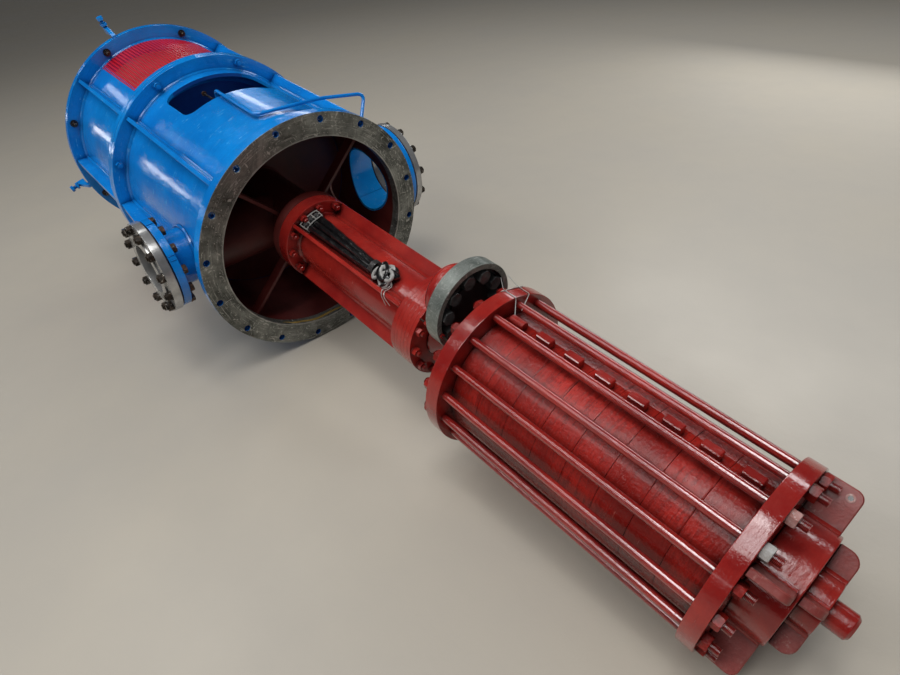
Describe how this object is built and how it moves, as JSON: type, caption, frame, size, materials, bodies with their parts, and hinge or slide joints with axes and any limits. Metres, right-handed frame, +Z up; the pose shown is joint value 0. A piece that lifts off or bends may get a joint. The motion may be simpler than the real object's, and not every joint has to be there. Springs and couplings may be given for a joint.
{
  "type": "vertical canned pump, lying on its side",
  "caption": "Multistage vertical can pump lying down: round fabricated head with motor stool and side nozzles, finned column, and a stage stack held between two rings by tie rods.",
  "frame": {"origin": "middle of the bounding box, on the ground that the pump lies on", "axes": "+X along the pump from the motor flange towards the suction end (which is lower, so the pump's own axis dips by 6.9 degrees), +Y towards the suction nozzle, +Z up"},
  "size_m": [3.6606, 1.202, 1.2482],
  "materials": {
    "blue_paint": "glossy azure enamel with brush marks and weld beads",
    "red_oxide": "glossy red oxide paint over castings",
    "red_mesh": "red perforated sheet",
    "raw_steel": "machined steel with oil film and rust bloom",
    "turned_steel": "bright turned steel",
    "black_sleeve": "matt woven sleeve"
  },
  "bodies": {
    "root": {"motor_flange": "blue_paint", "motor_stool": "blue_paint", "top_guard": "red_mesh", "left_guard": "red_mesh", "right_guard": "red_mesh", "stool_foot_flange": "blue_paint", "head_top_flange": "blue_paint", "head_shell": "blue_paint", "barrel_flange": "raw_steel", "discharge_flange": "blue_paint", "discharge_companion_flange": "turned_steel", "suction_flange": "blue_paint", "suction_companion_flange": "turned_steel", "seal_plate": "blue_paint", "pump_shaft": "turned_steel", "discharge_bend": "red_oxide", "column_seat": "red_oxide", "vent_tube": "blue_paint", "column_top_flange": "red_oxide", "column_pipe": "red_oxide", "column_foot_flange": "red_oxide", "bowl_neck": "red_oxide", "branch_flange": "raw_steel", "bowl_top_ring": "red_oxide", "stage_1": "red_oxide", "stage_2": "red_oxide", "stage_3": "red_oxide", "stage_4": "red_oxide", "stage_5": "red_oxide", "stage_6": "red_oxide", "stage_7": "red_oxide", "stage_8": "red_oxide", "bowl_bottom_ring": "red_oxide", "tie_rod_1": "red_oxide", "tie_rod_2": "red_oxide", "tie_rod_3": "red_oxide", "tie_rod_4": "red_oxide", "tie_rod_5": "red_oxide", "tie_rod_6": "red_oxide", "tie_rod_7": "red_oxide", "tie_rod_8": "red_oxide", "tie_rod_9": "red_oxide", "tie_rod_10": "red_oxide", "tie_rod_11": "red_oxide", "tie_rod_12": "red_oxide", "tie_rod_13": "red_oxide", "tie_rod_14": "red_oxide", "tie_rod_15": "red_oxide", "tie_rod_16": "red_oxide", "suction_casing": "red_oxide", "bearing_housing": "red_oxide", "shaft_end": "red_oxide", "cable_left": "black_sleeve", "cable_right": "black_sleeve", "cable_loops": "black_sleeve"}
  },
  "joints": []
}
